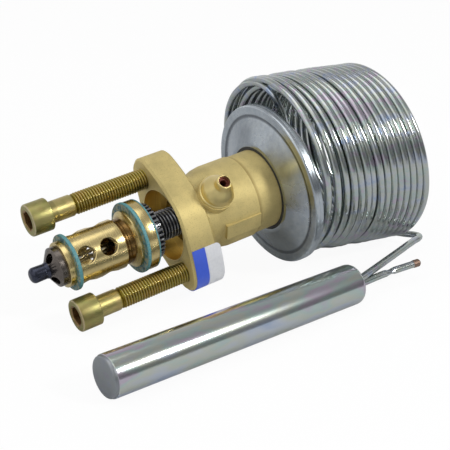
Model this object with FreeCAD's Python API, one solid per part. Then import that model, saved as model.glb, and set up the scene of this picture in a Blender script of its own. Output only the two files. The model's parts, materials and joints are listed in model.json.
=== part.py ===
"""Take-apart thermostatic expansion valve: power assembly, cage, screws, capillary and bulb.

The valve is modelled on its own axis, with the flange's mating face at x = 0 and the power
head on the +X side. It is then leaned to the pose in which it rests on a table, on the rim of
its head and the head of the lower screw. The capillary coil and the bulb lie on the same table.
Sizes are in millimetres and angles in degrees.
"""
import FreeCAD
import Part
import math
import os

V = FreeCAD.Vector

# Flange: two ears on an oval plate
FLANGE_T = 11.5
FLANGE_CORE_R = 14.9
EAR_R = 7.7
FLANGE_SIDE_R = 60.0
FLANGE_EDGE = 0.8
SCREW_SPACING = 37.2
EAR_ANGLE = 53.6
RECESS_R = 13.6
RECESS_DEPTH = 7.0
RECESS_FLOOR_R = 9.0
RECESS_FLOOR_DEPTH = 5.5

# Forged body and turned neck
WAIST_R = 14.2
WAIST_END = 15.5
BODY_R = 15.75
BODY_SWELL_END = 21.5
BODY_END = 32.4
NECK_R = 15.3
NECK_END = 44.4
SHOULDER_T = 0.9
SHOULDER_GROOVE = 0.15
CHAMBER_R = 12.2
CHAMBER_DEPTH = 8.0
PAD_ANGLE = 194.0
PAD_START = 17.5
PAD_LENGTH = 15.0
PAD_WIDTH = 6.0
PAD_RISE = 0.4

# External equalizer
EQ_X = 17.2
EQ_ANGLE = 134.9
EQ_BOSS_R = 6.9
EQ_BOSS_TOP = BODY_R + 0.4
EQ_BASE_R = 6.6
EQ_BASE_T = 1.2
EQ_CONE_TOP_R = 3.6
EQ_CONE_T = 4.6
EQ_TIP_R = 2.55
EQ_TIP_T = 3.6
EQ_BORE_R = 1.9
EQ_PORT_R = 1.5
EQ_PASSAGE_R = 1.1

# Power head
RIM_X = 46.4
HEAD_R = 31.5
RIM_WIDTH = 3.9
RIM_T = 1.9
RIM_EDGE = 0.9
CUP_T = 1.5
CUP_FRONT_X = 42.5
CUP_HUB_R = 18.0
SEAL_R = 16.5
SEAL_T = 0.9
DIAPHRAGM_T = 0.3
WAVE_R = 20.0
WAVE_WIDTH = 3.0
WAVE_RISE = 0.7
DOME_R = 21.0
DOME_RISE = 7.0
COLLAR_R = 4.2
COLLAR_T = 4.0
BUFFER_R = 11.0
BUFFER_T = 2.6

# Push rod and superheat spring
ROD_R = 1.5
FIT = 0.06
PACKING_R = 3.2
PACKING_T = 4.0
SLEEVE_R = 5.6
SLEEVE_BORE_R = 4.3
SLEEVE_START = -11.6
SLEEVE_LENGTH = 24.0
SLEEVE_FLOOR_T = 1.6
SPRING_WIRE = 1.0
SPRING_MEAN_R = 3.2
SPRING_TURNS = 4.5
SPRING_GAP = 0.1
RETAINER_T = 1.6
RETAINER_R = 4.0
SLEEVE_TRAVEL = 2.0

# Adjusting gear
GEAR_TEETH = 36
GEAR_R = 10.6
GEAR_TOOTH_DEPTH = 1.3
GEAR_DISC_T = 1.8
GEAR_T = 3.7
GEAR_HUB_R = 7.1
GEAR_HUB_T = 0.9
GEAR_GAP = 0.1

# Cage
CAGE_FLANGE_REAR = -9.4
CAGE_FLANGE_T = 3.5
CAGE_FLANGE_R = 13.1
CAGE_LIP_R = 10.6
CAGE_LIP_T = 2.4
CAGE_GROOVE_R = 8.3
CAGE_GROOVE_T = 3.4
CAGE_SHOULDER_T = 1.2
CAGE_R = 9.2
CAGE_FRONT = -42.3
CAGE_SPIGOT_R = 8.4
CAGE_SPIGOT_T = 3.8
CAGE_BORE_R = 6.5
CAGE_GUIDE_T = 7.0
CROSS_HOLE_R = 3.2
CROSS_HOLE_STATIONS = (-34.9, -26.1)
CROSS_HOLE_ANGLE = 149.9
FRONT_GASKET_T = 1.3
FRONT_GASKET_R = 13.35
REAR_GASKET_T = 0.6
LOWER_GASKET_T = 1.5
LOWER_GASKET_R = 10.4

# Nose with the port, and its end plug
NOSE_R = 7.2
NOSE_RIM_T = 2.3
NOSE_CONE_T = 2.7
NOSE_SPIGOT_T = 3.6
NOSE_PORT_R = 2.4
NOSE_PORT_T = 2.2
NOSE_WELL_R = 4.2
NOSE_HOLE_R = 1.85
NOSE_HOLE_RING_R = 4.5
NOSE_HOLE_TILT = 30.0
NOSE_HOLES = 3
NOSE_HOLE_ANGLE = 101.0
PLUG_R = 2.9
PLUG_LENGTH = 6.6
PLUG_CHAMFER = 1.1
PLUG_FLARE = 1.0

# Metering pin
PIN_R = 1.8
PIN_HEAD_R = 3.1
PIN_HEAD_T = 1.3
PIN_CONE_T = 1.0
PIN_LIFT = 0.05

# Cap screws
SCREW_R = 3.97
SCREW_LENGTH = 50.8
SCREW_HEAD_R = 5.95
SCREW_HEAD_T = 7.94
SCREW_HEAD_EDGE = 0.6
SCREW_SOCKET_FLATS = 6.35
SCREW_SOCKET_DEPTH = 4.2
SCREW_HOLE_R = 4.0
UPPER_SCREW_FACE = -46.8
LOWER_SCREW_FACE = -44.4

# Capillary coil, slumped on the table behind the head: its turns still lean as the head does
TUBE_R = 1.4
COIL_START = 50.9
COIL_PITCH = 2.86
COIL_TURNS = 16
COIL_CLEARANCE = 0.4
COIL_OUTER_R = 36.4
COIL_LAYERS = 2
COIL_START_Y = 4.9
COIL_END_Y = -3.1
RISER_R = 1.35
RISER_REACH = 9.0
RISER_SLANT = 3.0
RISER_BEND_R = 7.0
RISER_ANGLE = 105.0

# Bulb and its tubes
BULB_R = 7.5
BULB_LENGTH = 107.0
BULB_START_X = -54.6
BULB_START_Y = -54.3
BULB_YAW = 3.8
BULB_DISC_T = 1.4
BULB_SEAM = 0.25
BULB_SHOULDER_R = 1.6
FILL_TUBE_R = 1.35
FILL_REACH = 30.0
FILL_BOW = 1.0
FILL_BEND_R = 60.0
FILL_SIDE = -0.3
FILL_UP = -1.3
FILL_END_T = 3.2
TAIL_SIDE = -2.2
TAIL_UP = 2.2
TAIL_BEND_R = 3.8
TAIL_CORNER_X = 104.4
TAIL_CORNER_Y = -24.9
TAIL_CORNER_UP = 5.0
TAIL_ANGLE = -112.0
TAIL_END_GAP = 0.5

# Label on the lower ear
LABEL_T = 0.25
LABEL_REACH = 12.3
LABEL_START_X = 0.9
LABEL_OVERHANG = 1.2


def turned(profile):
    """A solid of revolution about the valve axis, from (x, radius) points."""
    points = [V(x, 0, r) for x, r in profile]
    face = Part.Face(Part.makePolygon(points + points[:1]))
    return face.revolve(V(0, 0, 0), V(1, 0, 0), 360)


def rod(start, end, radius):
    """A cylinder on the valve axis."""
    return Part.makeCylinder(radius, end - start, V(start, 0, 0), V(1, 0, 0))


def ring(start, end, inner, outer):
    """A flat ring on the valve axis."""
    return rod(start, end, outer).cut(rod(start, end, inner))


def across(angle, distance=1.0):
    """The place at a distance from the valve axis, at an angle from +Y towards +Z."""
    turn = math.radians(angle)
    return V(0, distance * math.cos(turn), distance * math.sin(turn))


def edges_where(shape, test):
    return [edge for edge in shape.Edges if test(edge)]


# Where each piece ends follows from the sizes above
GEAR_REAR = CAGE_FLANGE_REAR + GEAR_GAP + GEAR_T
SLEEVE_END = SLEEVE_START + SLEEVE_LENGTH
CAGE_FLANGE_FRONT = CAGE_FLANGE_REAR - CAGE_FLANGE_T
CAGE_LIP_FRONT = CAGE_FLANGE_FRONT - CAGE_LIP_T
CAGE_GROOVE_REAR = CAGE_LIP_FRONT - CAGE_SHOULDER_T
CAGE_GROOVE_FRONT = CAGE_GROOVE_REAR - CAGE_GROOVE_T
CAGE_SPIGOT_REAR = CAGE_FRONT + CAGE_SPIGOT_T
NOSE_RIM_FRONT = CAGE_FRONT - NOSE_RIM_T
NOSE_FACE = NOSE_RIM_FRONT - NOSE_CONE_T
PIN_GUIDE_FRONT = CAGE_FLANGE_REAR - CAGE_GUIDE_T
NOSE_SPIGOT_REAR = CAGE_FRONT + NOSE_SPIGOT_T
PORT_FRONT = NOSE_SPIGOT_REAR - NOSE_PORT_T
SLEEVE_ROOM = SLEEVE_START - SLEEVE_TRAVEL - 0.4
RETAINER_FRONT = SLEEVE_END - RETAINER_T - 1.0
DIAPHRAGM_X = RIM_X + RIM_T
BUFFER_REAR = DIAPHRAGM_X
CHAMBER_FRONT = NECK_END - CHAMBER_DEPTH
LOWER_SCREW_DROP = SCREW_SPACING / 2 * math.sin(math.radians(EAR_ANGLE))
LEAN = math.degrees(math.atan2(HEAD_R - LOWER_SCREW_DROP - SCREW_HEAD_R, RIM_X - LOWER_SCREW_FACE))
COIL_END = COIL_START + COIL_TURNS * COIL_PITCH
TABLE_Z = RIM_X * math.sin(math.radians(LEAN)) - HEAD_R * math.cos(math.radians(LEAN))


def flange_outline():
    """The oval: a round core, two round ears and a bulging side tangent to both."""
    half = SCREW_SPACING / 2
    to_core = FLANGE_SIDE_R - FLANGE_CORE_R
    to_ear = FLANGE_SIDE_R - EAR_R
    along = (to_core ** 2 - to_ear ** 2 + half ** 2) / (2 * half)
    depth = math.sqrt(to_core ** 2 - along ** 2)
    centre = V(along, -depth, 0)
    ear = V(half, 0, 0)
    core_touch = V(centre).multiply(-FLANGE_CORE_R / to_core)
    ear_touch = ear + (ear - centre).multiply(EAR_R / to_ear)
    middle = (core_touch + ear_touch).multiply(0.5) - centre
    side_middle = centre + middle.normalize().multiply(FLANGE_SIDE_R)

    def at(point, flip_x, flip_y):
        return V(-point.x if flip_x else point.x, -point.y if flip_y else point.y, 0)

    edges = []
    top = V(0, FLANGE_CORE_R, 0)
    ear_tip = V(half + EAR_R, 0, 0)
    for flip_x, flip_y in ((False, False), (True, False), (True, True), (False, True)):
        a, m, b = (at(p, flip_x, flip_y) for p in (core_touch, side_middle, ear_touch))
        edges.append(Part.Arc(a, m, b).toShape())
    for flip_y in (False, True):
        a, b = at(core_touch, True, flip_y), at(core_touch, False, flip_y)
        edges.append(Part.Arc(a, at(top, False, flip_y), b).toShape())
    for flip_x in (False, True):
        a, b = at(ear_touch, flip_x, False), at(ear_touch, flip_x, True)
        edges.append(Part.Arc(a, at(ear_tip, flip_x, False), b).toShape())
    return Part.Wire(Part.__sortEdges__(edges))


def stand_on_axis(shape):
    """Turn a shape drawn in XY, ears along X, so that it faces along the valve axis."""
    turn = FreeCAD.Rotation(V(0, 1, 0), V(0, 0, 1), V(1, 0, 0), "ZXY")
    shape.Placement = FreeCAD.Placement(V(0, 0, 0), turn)
    shape.rotate(V(0, 0, 0), V(1, 0, 0), EAR_ANGLE)
    return shape


def flange_plate():
    wire = stand_on_axis(flange_outline())
    plate = Part.Face(wire).extrude(V(FLANGE_T, 0, 0))
    rims = edges_where(plate, lambda edge: edge.BoundBox.XLength < 1e-6)
    return plate.makeChamfer(FLANGE_EDGE, rims)


def valve_body():
    swell = (WAIST_END + BODY_SWELL_END) / 2
    outside = turned([
        (0, 0), (0, WAIST_R), (WAIST_END, WAIST_R), (swell, (WAIST_R + BODY_R) / 2 + 0.3),
        (BODY_SWELL_END, BODY_R), (BODY_END, BODY_R),
        (BODY_END + SHOULDER_T / 3, NECK_R - SHOULDER_GROOVE), (BODY_END + SHOULDER_T, NECK_R),
        (NECK_END, NECK_R), (NECK_END, 0),
    ])
    body = outside.fuse(flange_plate())
    boss = Part.makeCylinder(EQ_BOSS_R, EQ_BOSS_TOP, V(EQ_X, 0, 0), across(EQ_ANGLE))
    body = body.fuse(boss)
    pad = Part.makeBox(PAD_LENGTH, BODY_R + PAD_RISE, PAD_WIDTH, V(PAD_START, 0, -PAD_WIDTH / 2))
    pad.rotate(V(0, 0, 0), V(1, 0, 0), PAD_ANGLE)
    body = body.fuse(pad).removeSplitter()

    recess = rod(-1, RECESS_DEPTH, RECESS_R)
    floor = rod(0, RECESS_DEPTH + RECESS_FLOOR_DEPTH, RECESS_FLOOR_R)
    guide = rod(0, SLEEVE_END + SLEEVE_TRAVEL + 2, SLEEVE_R + FIT)
    rod_way = rod(0, NECK_END, ROD_R + FIT)
    chamber = rod(CHAMBER_FRONT, NECK_END + 1, CHAMBER_R)
    packing = rod(CHAMBER_FRONT - PACKING_T, CHAMBER_FRONT, PACKING_R)
    half = SCREW_SPACING / 2
    cuts = [floor, guide, rod_way, chamber, packing]
    for side in (half, -half):
        place = across(EAR_ANGLE, side)
        cuts.append(Part.makeCylinder(SCREW_HOLE_R, FLANGE_T + 2, place - V(1, 0, 0), V(1, 0, 0)))
    out = across(EQ_ANGLE)
    bottom = (RECESS_FLOOR_R + EQ_BOSS_TOP) / 2
    port = Part.makeCylinder(EQ_PORT_R, EQ_BOSS_TOP, V(EQ_X, 0, 0) + across(EQ_ANGLE, bottom), out)
    passage_r = (BUFFER_R + RECESS_FLOOR_R) / 2
    passage = Part.makeCylinder(EQ_PASSAGE_R, CHAMBER_FRONT - EQ_X + 1,
                                V(EQ_X, 0, 0) + across(EQ_ANGLE, bottom - EQ_PASSAGE_R), V(1, 0, 0))
    cuts += [port, passage]
    body = body.cut(recess)
    for cut in cuts:
        body = body.cut(cut)
    return body


def equalizer_fitting():
    """A stepped, coned stub with a socket for the equalizer tube."""
    base = EQ_BOSS_TOP
    cone = base + EQ_BASE_T
    step = cone + EQ_CONE_T
    tip = step + EQ_TIP_T
    points = [
        (base, EQ_BORE_R), (base, EQ_BASE_R), (cone, EQ_BASE_R - 0.4), (step, EQ_CONE_TOP_R),
        (step, EQ_TIP_R), (tip - 0.3, EQ_TIP_R), (tip, EQ_TIP_R - 0.2), (tip, EQ_BORE_R),
    ]
    stub = turned(points)
    stub.rotate(V(0, 0, 0), V(0, 0, 1), 90)
    stub.rotate(V(0, 0, 0), V(1, 0, 0), EQ_ANGLE)
    stub.translate(V(EQ_X, 0, 0))
    return stub


def head_lower_cup():
    """Front half of the diaphragm case: a hub on the neck, a shallow cone and a thick rim."""
    inner = HEAD_R - RIM_WIDTH
    front = CUP_FRONT_X
    back = DIAPHRAGM_X
    valley = RIM_X + 0.2
    return turned([
        (front, SEAL_R), (front, CUP_HUB_R), (valley, inner - 0.6), (valley, inner),
        (RIM_X, inner + 0.7), (RIM_X, HEAD_R - RIM_EDGE), (RIM_X + RIM_EDGE, HEAD_R),
        (back, HEAD_R), (back, inner - 1.6),
        (front + CUP_T + 0.8, CUP_HUB_R - 0.6), (front + CUP_T + 0.8, NECK_R),
        (front + SEAL_T, NECK_R), (front + SEAL_T, SEAL_R),
    ])


def neck_seal():
    return ring(CUP_FRONT_X, CUP_FRONT_X + SEAL_T, NECK_R, SEAL_R)


def diaphragm():
    """A thin disc with one round corrugation, clamped between the two rims."""
    front = DIAPHRAGM_X
    wave = [(0, WAVE_R - WAVE_WIDTH), (-WAVE_RISE, WAVE_R - WAVE_WIDTH / 2), (0, WAVE_R)]
    outer = HEAD_R - RIM_WIDTH / 2
    near = [(front + dx, r) for dx, r in wave]
    far = [(front + DIAPHRAGM_T + dx, r) for dx, r in reversed(wave)]
    return turned([(front, 0)] + near + [(front, outer), (front + DIAPHRAGM_T, outer)] + far
                  + [(front + DIAPHRAGM_T, 0)])


def head_upper_cup():
    """Rear half of the case: a rim and a shallow dome with a hole for the collar."""
    inner = HEAD_R - RIM_WIDTH
    front = DIAPHRAGM_X
    seat = front + DIAPHRAGM_T
    outer = HEAD_R - RIM_WIDTH / 2
    back = seat + RIM_T - DIAPHRAGM_T
    top = seat + DOME_RISE
    return turned([
        (front, outer), (front, HEAD_R), (back - RIM_EDGE, HEAD_R), (back, HEAD_R - RIM_EDGE),
        (back, inner),
        (top, DOME_R - 6.0), (top, COLLAR_R - 1.4), (top - CUP_T, COLLAR_R - 1.4),
        (top - CUP_T, DOME_R - 7.0), (seat, inner - 2.0), (seat, outer),
    ])


def collar_place():
    return DIAPHRAGM_X + DIAPHRAGM_T + DOME_RISE


def capillary_collar():
    top = collar_place()
    return turned([
        (top, TUBE_R), (top, COLLAR_R), (top + COLLAR_T / 2, COLLAR_R),
        (top + COLLAR_T, TUBE_R + 0.8), (top + COLLAR_T, TUBE_R),
    ])


def buffer_plate():
    front = BUFFER_REAR - BUFFER_T
    return turned([
        (front, 0), (front, BUFFER_R - 1.0), (front + 1.0, BUFFER_R), (BUFFER_REAR, BUFFER_R),
        (BUFFER_REAR, 0),
    ])


def push_rod():
    rear = BUFFER_REAR - BUFFER_T
    return rod(PIN_GUIDE_FRONT, rear, ROD_R)


def rod_packing():
    rear = CHAMBER_FRONT
    return ring(rear - PACKING_T, rear, ROD_R + FIT, PACKING_R)


def spring_retainer():
    return ring(RETAINER_FRONT, RETAINER_FRONT + RETAINER_T, ROD_R, RETAINER_R)


def adjusting_sleeve():
    """Threaded cup that holds the spring; the fine thread is left off."""
    floor = SLEEVE_START + SLEEVE_FLOOR_T
    return turned([
        (SLEEVE_START, ROD_R + FIT), (SLEEVE_START, SLEEVE_R - 0.5), (SLEEVE_START + 0.5, SLEEVE_R),
        (SLEEVE_END - 0.5, SLEEVE_R), (SLEEVE_END, SLEEVE_R - 0.5), (SLEEVE_END, SLEEVE_BORE_R),
        (floor, SLEEVE_BORE_R), (floor, ROD_R + FIT),
    ])


def superheat_spring():
    """A coil of square wire between the sleeve's floor and the retainer."""
    start = SLEEVE_START + SLEEVE_FLOOR_T
    length = RETAINER_FRONT - start - SPRING_GAP
    pitch = (length - SPRING_WIRE) / SPRING_TURNS
    path = Part.makeHelix(pitch, pitch * SPRING_TURNS, SPRING_MEAN_R)
    half = SPRING_WIRE / 2
    corners = [V(SPRING_MEAN_R + a, 0, b) for a, b in ((-half, -half), (half, -half), (half, half), (-half, half))]
    section = Part.makePolygon(corners + corners[:1])
    coil = Part.Wire(path.Edges).makePipeShell([section], True, True)
    coil.rotate(V(0, 0, 0), V(0, 1, 0), 90)
    coil.translate(V(start + half, 0, 0))
    return coil


def adjusting_gear():
    """Face gear that is the sleeve's nut: a plain disc, straight-sided teeth behind it and a hub."""
    front = CAGE_FLANGE_REAR + GEAR_GAP
    disc_rear = front + GEAR_DISC_T
    rear = front + GEAR_T
    step = 360.0 / GEAR_TEETH
    root = GEAR_R - GEAR_TOOTH_DEPTH
    points = []
    for tooth in range(GEAR_TEETH):
        for share, radius in ((0.0, root), (0.2, root), (0.4, GEAR_R), (0.8, GEAR_R)):
            points.append(V(disc_rear, 0, 0) + across((tooth + share) * step, radius))
    teeth = Part.Face(Part.makePolygon(points + points[:1])).extrude(V(rear - disc_rear, 0, 0))
    blank = rod(front, disc_rear, GEAR_R).fuse(teeth).fuse(rod(front, rear + GEAR_HUB_T, GEAR_HUB_R))
    return blank.cut(rod(front - 1, rear + GEAR_HUB_T + 1, SLEEVE_R + FIT))


def cage_body():
    profile = [
        (CAGE_FRONT, CAGE_BORE_R), (CAGE_FRONT, CAGE_SPIGOT_R), (CAGE_SPIGOT_REAR, CAGE_SPIGOT_R),
        (CAGE_SPIGOT_REAR, CAGE_R), (CAGE_GROOVE_FRONT, CAGE_R), (CAGE_GROOVE_FRONT, CAGE_GROOVE_R),
        (CAGE_GROOVE_REAR, CAGE_GROOVE_R), (CAGE_LIP_FRONT, CAGE_LIP_R),
        (CAGE_FLANGE_FRONT, CAGE_LIP_R), (CAGE_FLANGE_FRONT, CAGE_FLANGE_R),
        (CAGE_FLANGE_REAR, CAGE_FLANGE_R), (CAGE_FLANGE_REAR, SLEEVE_R + 0.4),
        (SLEEVE_ROOM, SLEEVE_R + 0.4), (SLEEVE_ROOM, PIN_R + FIT),
        (PIN_GUIDE_FRONT - 2.0, PIN_R + FIT), (PIN_GUIDE_FRONT - 2.0, CAGE_BORE_R),
    ]
    cage = turned(profile)
    for station in CROSS_HOLE_STATIONS:
        for quarter in (0, 90):
            out = across(CROSS_HOLE_ANGLE + quarter)
            start = V(station, 0, 0) - V(out).multiply(2 * CAGE_R)
            cage = cage.cut(Part.makeCylinder(CROSS_HOLE_R, 4 * CAGE_R, start, out))
    return cage


def cage_front_gasket():
    return ring(CAGE_FLANGE_FRONT - FRONT_GASKET_T, CAGE_FLANGE_FRONT, CAGE_LIP_R, FRONT_GASKET_R)


def cage_rear_gasket():
    return ring(CAGE_FLANGE_REAR, CAGE_FLANGE_REAR + REAR_GASKET_T, GEAR_R + 0.25, CAGE_FLANGE_R)


def cage_lower_gasket():
    rear = CAGE_SPIGOT_REAR
    return ring(rear - LOWER_GASKET_T, rear, CAGE_SPIGOT_R, LOWER_GASKET_R)


def cage_nose():
    """Steel seat: slanted inlet holes lead through its cone to a well below the port."""
    nose = turned([
        (NOSE_FACE, 0), (NOSE_FACE, PLUG_R + 0.2), (NOSE_RIM_FRONT, NOSE_R), (CAGE_FRONT, NOSE_R),
        (CAGE_FRONT, CAGE_BORE_R), (NOSE_SPIGOT_REAR, CAGE_BORE_R), (NOSE_SPIGOT_REAR, NOSE_PORT_R),
        (PORT_FRONT, NOSE_PORT_R), (PORT_FRONT, NOSE_WELL_R), (NOSE_RIM_FRONT, NOSE_WELL_R),
        (NOSE_RIM_FRONT, 0),
    ])
    for count in range(NOSE_HOLES):
        angle = NOSE_HOLE_ANGLE + count * 360.0 / NOSE_HOLES
        mouth = V((NOSE_FACE + NOSE_RIM_FRONT) / 2, 0, 0) + across(angle, NOSE_HOLE_RING_R)
        tilt = math.radians(NOSE_HOLE_TILT)
        inward = V(math.cos(tilt), 0, 0) - across(angle, math.sin(tilt))
        start = mouth - V(inward).multiply(3 * NOSE_HOLE_R)
        nose = nose.cut(Part.makeCylinder(NOSE_HOLE_R, 5 * NOSE_HOLE_R, start, inward))
    return nose


def nose_plug():
    end = NOSE_FACE - PLUG_LENGTH
    return turned([
        (end, 0), (end, PLUG_R - PLUG_CHAMFER), (end + PLUG_CHAMFER, PLUG_R),
        (NOSE_FACE - PLUG_FLARE, PLUG_R - 0.15), (NOSE_FACE, PLUG_R + 0.2), (NOSE_FACE, 0),
    ])


def valve_pin():
    """Metering pin: a stem through the port and a coned head that closes the port from the well."""
    cone_rear = PORT_FRONT - PIN_LIFT + NOSE_PORT_R - PIN_HEAD_R + PIN_CONE_T
    cone_front = cone_rear - PIN_CONE_T
    front = cone_front - PIN_HEAD_T
    return turned([
        (front, 0), (front, PIN_HEAD_R - 0.4), (front + 0.4, PIN_HEAD_R), (cone_front, PIN_HEAD_R),
        (cone_rear, PIN_HEAD_R - PIN_CONE_T), (cone_rear, PIN_R), (PIN_GUIDE_FRONT, PIN_R),
        (PIN_GUIDE_FRONT, 0),
    ])


def cap_screw(face, side):
    """A socket head cap screw whose head faces away from the power head; its thread is left off."""
    under = face + SCREW_HEAD_T
    end = under + SCREW_LENGTH
    screw = turned([
        (face, 0), (face, SCREW_HEAD_R - SCREW_HEAD_EDGE), (face + SCREW_HEAD_EDGE, SCREW_HEAD_R),
        (under, SCREW_HEAD_R), (under, SCREW_R), (end - 0.8, SCREW_R), (end, SCREW_R - 0.8), (end, 0),
    ])
    corner = SCREW_SOCKET_FLATS / math.sqrt(3)
    corners = [V(face, 0, 0) + across(60 * k + EAR_ANGLE, corner) for k in range(6)]
    hexagon = Part.Face(Part.makePolygon(corners + corners[:1]))
    screw = screw.cut(hexagon.extrude(V(SCREW_SOCKET_DEPTH, 0, 0)))
    screw.translate(across(EAR_ANGLE, side * SCREW_SPACING / 2))
    return screw


def label():
    """A sticker wrapped round the end of the lower ear and a little way up the flange's sides."""
    start = V(LABEL_START_X, 0, 0)
    length = FLANGE_T + LABEL_OVERHANG - LABEL_START_X
    edge = Part.Face(stand_on_axis(flange_outline()))
    around = Part.Face(stand_on_axis(flange_outline().makeOffset2D(LABEL_T)))
    wrap = around.extrude(V(length, 0, 0)).cut(edge.extrude(V(length, 0, 0)))
    wrap.translate(start)
    ear_end = SCREW_SPACING / 2 + EAR_R
    rest = Part.makeBox(3 * length, 4 * ear_end, 4 * ear_end, V(-length, LABEL_REACH - ear_end, -2 * ear_end))
    rest.rotate(V(0, 0, 0), V(1, 0, 0), EAR_ANGLE)
    return wrap.cut(rest)


def coil_centre(x):
    """The middle of a turn; all the turns lean with the valve and rest on the table."""
    share = (x - COIL_START) / (COIL_END - COIL_START)
    height = TABLE_Z + COIL_OUTER_R * math.cos(math.radians(LEAN))
    return V(x, COIL_START_Y + share * (COIL_END_Y - COIL_START_Y), height)


def on_turn(x, radius, angle):
    """A point on a turn of the coil, by its angle from +Y towards the top."""
    lean = math.radians(LEAN)
    turn = math.radians(angle)
    up = V(-math.sin(lean), 0, math.cos(lean))
    return coil_centre(x) + V(0, 1, 0).multiply(radius * math.cos(turn)) + up.multiply(radius * math.sin(turn))


def coil_circle(x, radius):
    lean = math.radians(LEAN)
    circle = Part.makeCircle(radius, coil_centre(x), V(math.cos(lean), 0, math.sin(lean)))
    return Part.Wire(circle)


def head_room():
    """The space that the back of the power head takes inside the coil."""
    back = DIAPHRAGM_X + RIM_T + COIL_CLEARANCE
    top = collar_place() + COIL_CLEARANCE
    dome = HEAD_R - RIM_WIDTH + COIL_CLEARANCE
    return turned([
        (back - 4 * HEAD_R, 0), (back - 4 * HEAD_R, 4 * HEAD_R), (back, 4 * HEAD_R), (back, dome),
        (top, DOME_R - 6.0 + 2 * COIL_CLEARANCE), (top, 0),
    ])


def capillary_coil():
    """The wound tube as one slumped drum, lofted through its turns, with a rib for each outer turn."""
    circles = []
    for turn in range(COIL_TURNS):
        left = COIL_START + turn * COIL_PITCH
        circles += [coil_circle(left, COIL_OUTER_R - TUBE_R), coil_circle(left + COIL_PITCH / 2, COIL_OUTER_R)]
    circles.append(coil_circle(COIL_END, COIL_OUTER_R - TUBE_R))
    inner = COIL_OUTER_R - 2 * TUBE_R * COIL_LAYERS
    hollow = Part.makeLoft([coil_circle(COIL_START - 1, inner), coil_circle(COIL_END + 1, inner)], True, True)
    return Part.makeLoft(circles, True, True).cut(hollow).cut(leaned(head_room()))


def tube_along(points, radius, bends):
    """A round tube along straight runs joined by tangent arcs, one bend radius for each corner."""
    edges = []
    last = points[0]
    for before, corner, after, bend in zip(points, points[1:], points[2:], bends):
        to_corner = (corner - before).normalize()
        from_corner = (after - corner).normalize()
        half_turn = to_corner.getAngle(from_corner) / 2
        reach = bend * math.tan(half_turn)
        first = corner - V(to_corner).multiply(reach)
        second = corner + V(from_corner).multiply(reach)
        inward = (V(from_corner) - to_corner).normalize()
        middle = corner + V(inward).multiply(bend / math.cos(half_turn) - bend)
        edges.append(Part.LineSegment(last, first).toShape())
        edges.append(Part.Arc(first, middle, second).toShape())
        last = second
    edges.append(Part.LineSegment(last, points[-1]).toShape())
    path = Part.Wire(edges)
    start_way = (points[1] - points[0]).normalize()
    section = Part.Wire(Part.makeCircle(radius, points[0], start_way))
    return path.makePipeShell([section], True, False)


def bulb_frame():
    """The bulb's left end centre and its direction, lying on the table."""
    yaw = math.radians(BULB_YAW)
    return V(BULB_START_X, BULB_START_Y, TABLE_Z + BULB_R), V(math.cos(yaw), math.sin(yaw), 0)


def bulb_turned(profile):
    start, way = bulb_frame()
    solid = turned(profile)
    solid.rotate(V(0, 0, 0), V(0, 0, 1), BULB_YAW)
    solid.translate(start)
    return solid


def bulb_shell():
    return bulb_turned([
        (BULB_DISC_T, 0), (BULB_DISC_T, BULB_R), (BULB_LENGTH - BULB_SHOULDER_R, BULB_R),
        (BULB_LENGTH - BULB_SHOULDER_R * 0.3, BULB_R - BULB_SHOULDER_R * 0.3),
        (BULB_LENGTH, BULB_R - BULB_SHOULDER_R), (BULB_LENGTH, 0),
    ])


def bulb_end_disc():
    return bulb_turned([
        (0, 0), (0, BULB_R - 0.5), (0.3, BULB_R - BULB_SEAM), (BULB_DISC_T, BULB_R - BULB_SEAM),
        (BULB_DISC_T, 0),
    ])


def leaned(shape):
    """Lean the valve to the pose in which it rests on the table."""
    shape.rotate(V(0, 0, 0), V(0, 1, 0), -LEAN)
    return shape


def on_bulb_end(along, side, up):
    """A point past the bulb's right end, by its own directions."""
    start, way = bulb_frame()
    left = V(-way.y, way.x, 0)
    return start + V(way).multiply(BULB_LENGTH + along) + left.multiply(side) + V(0, 0, up)


def capillary_tail():
    """From the end of the coil's last turn, round a tight bend and straight to the bulb."""
    beside = COIL_END + TUBE_R * 1.02
    start = on_turn(beside, COIL_OUTER_R - TUBE_R, TAIL_ANGLE)
    corner = V(TAIL_CORNER_X, TAIL_CORNER_Y, TABLE_Z + TAIL_CORNER_UP)
    return tube_along([start, corner, on_bulb_end(TAIL_END_GAP, TAIL_SIDE, TAIL_UP)], TUBE_R, (TAIL_BEND_R,))


def fill_line():
    """The sealed filling stub: it leaves the bulb's end, bows a little and comes back."""
    return [
        on_bulb_end(0, FILL_SIDE, FILL_UP), on_bulb_end(FILL_REACH / 2, FILL_SIDE + FILL_BOW, FILL_UP),
        on_bulb_end(FILL_REACH, FILL_SIDE, FILL_UP),
    ]


def fill_tube():
    return tube_along(fill_line(), FILL_TUBE_R, (FILL_BEND_R,))


def fill_tube_end():
    before, end = fill_line()[1:]
    way = (end - before).normalize()
    cap = Part.makeCylinder(FILL_TUBE_R, FILL_END_T, end, way)
    far = edges_where(cap, lambda e: isinstance(e.Curve, Part.Circle) and (e.CenterOfMass - end).Length > 1)
    return cap.makeChamfer(FILL_TUBE_R / 3, far)


def capillary_riser():
    """From the collar on the head up to the inner turns of the coil."""
    lean = math.radians(LEAN)
    way = V(math.cos(lean), 0, math.sin(lean))
    start = V(way).multiply(collar_place())
    corner = V(way).multiply(collar_place() + RISER_REACH)
    inner = COIL_OUTER_R - 2 * TUBE_R * COIL_LAYERS
    far = on_turn(corner.x + RISER_SLANT, inner - 0.1, RISER_ANGLE)
    return tube_along([start, corner, far], RISER_R, (RISER_BEND_R,))


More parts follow.
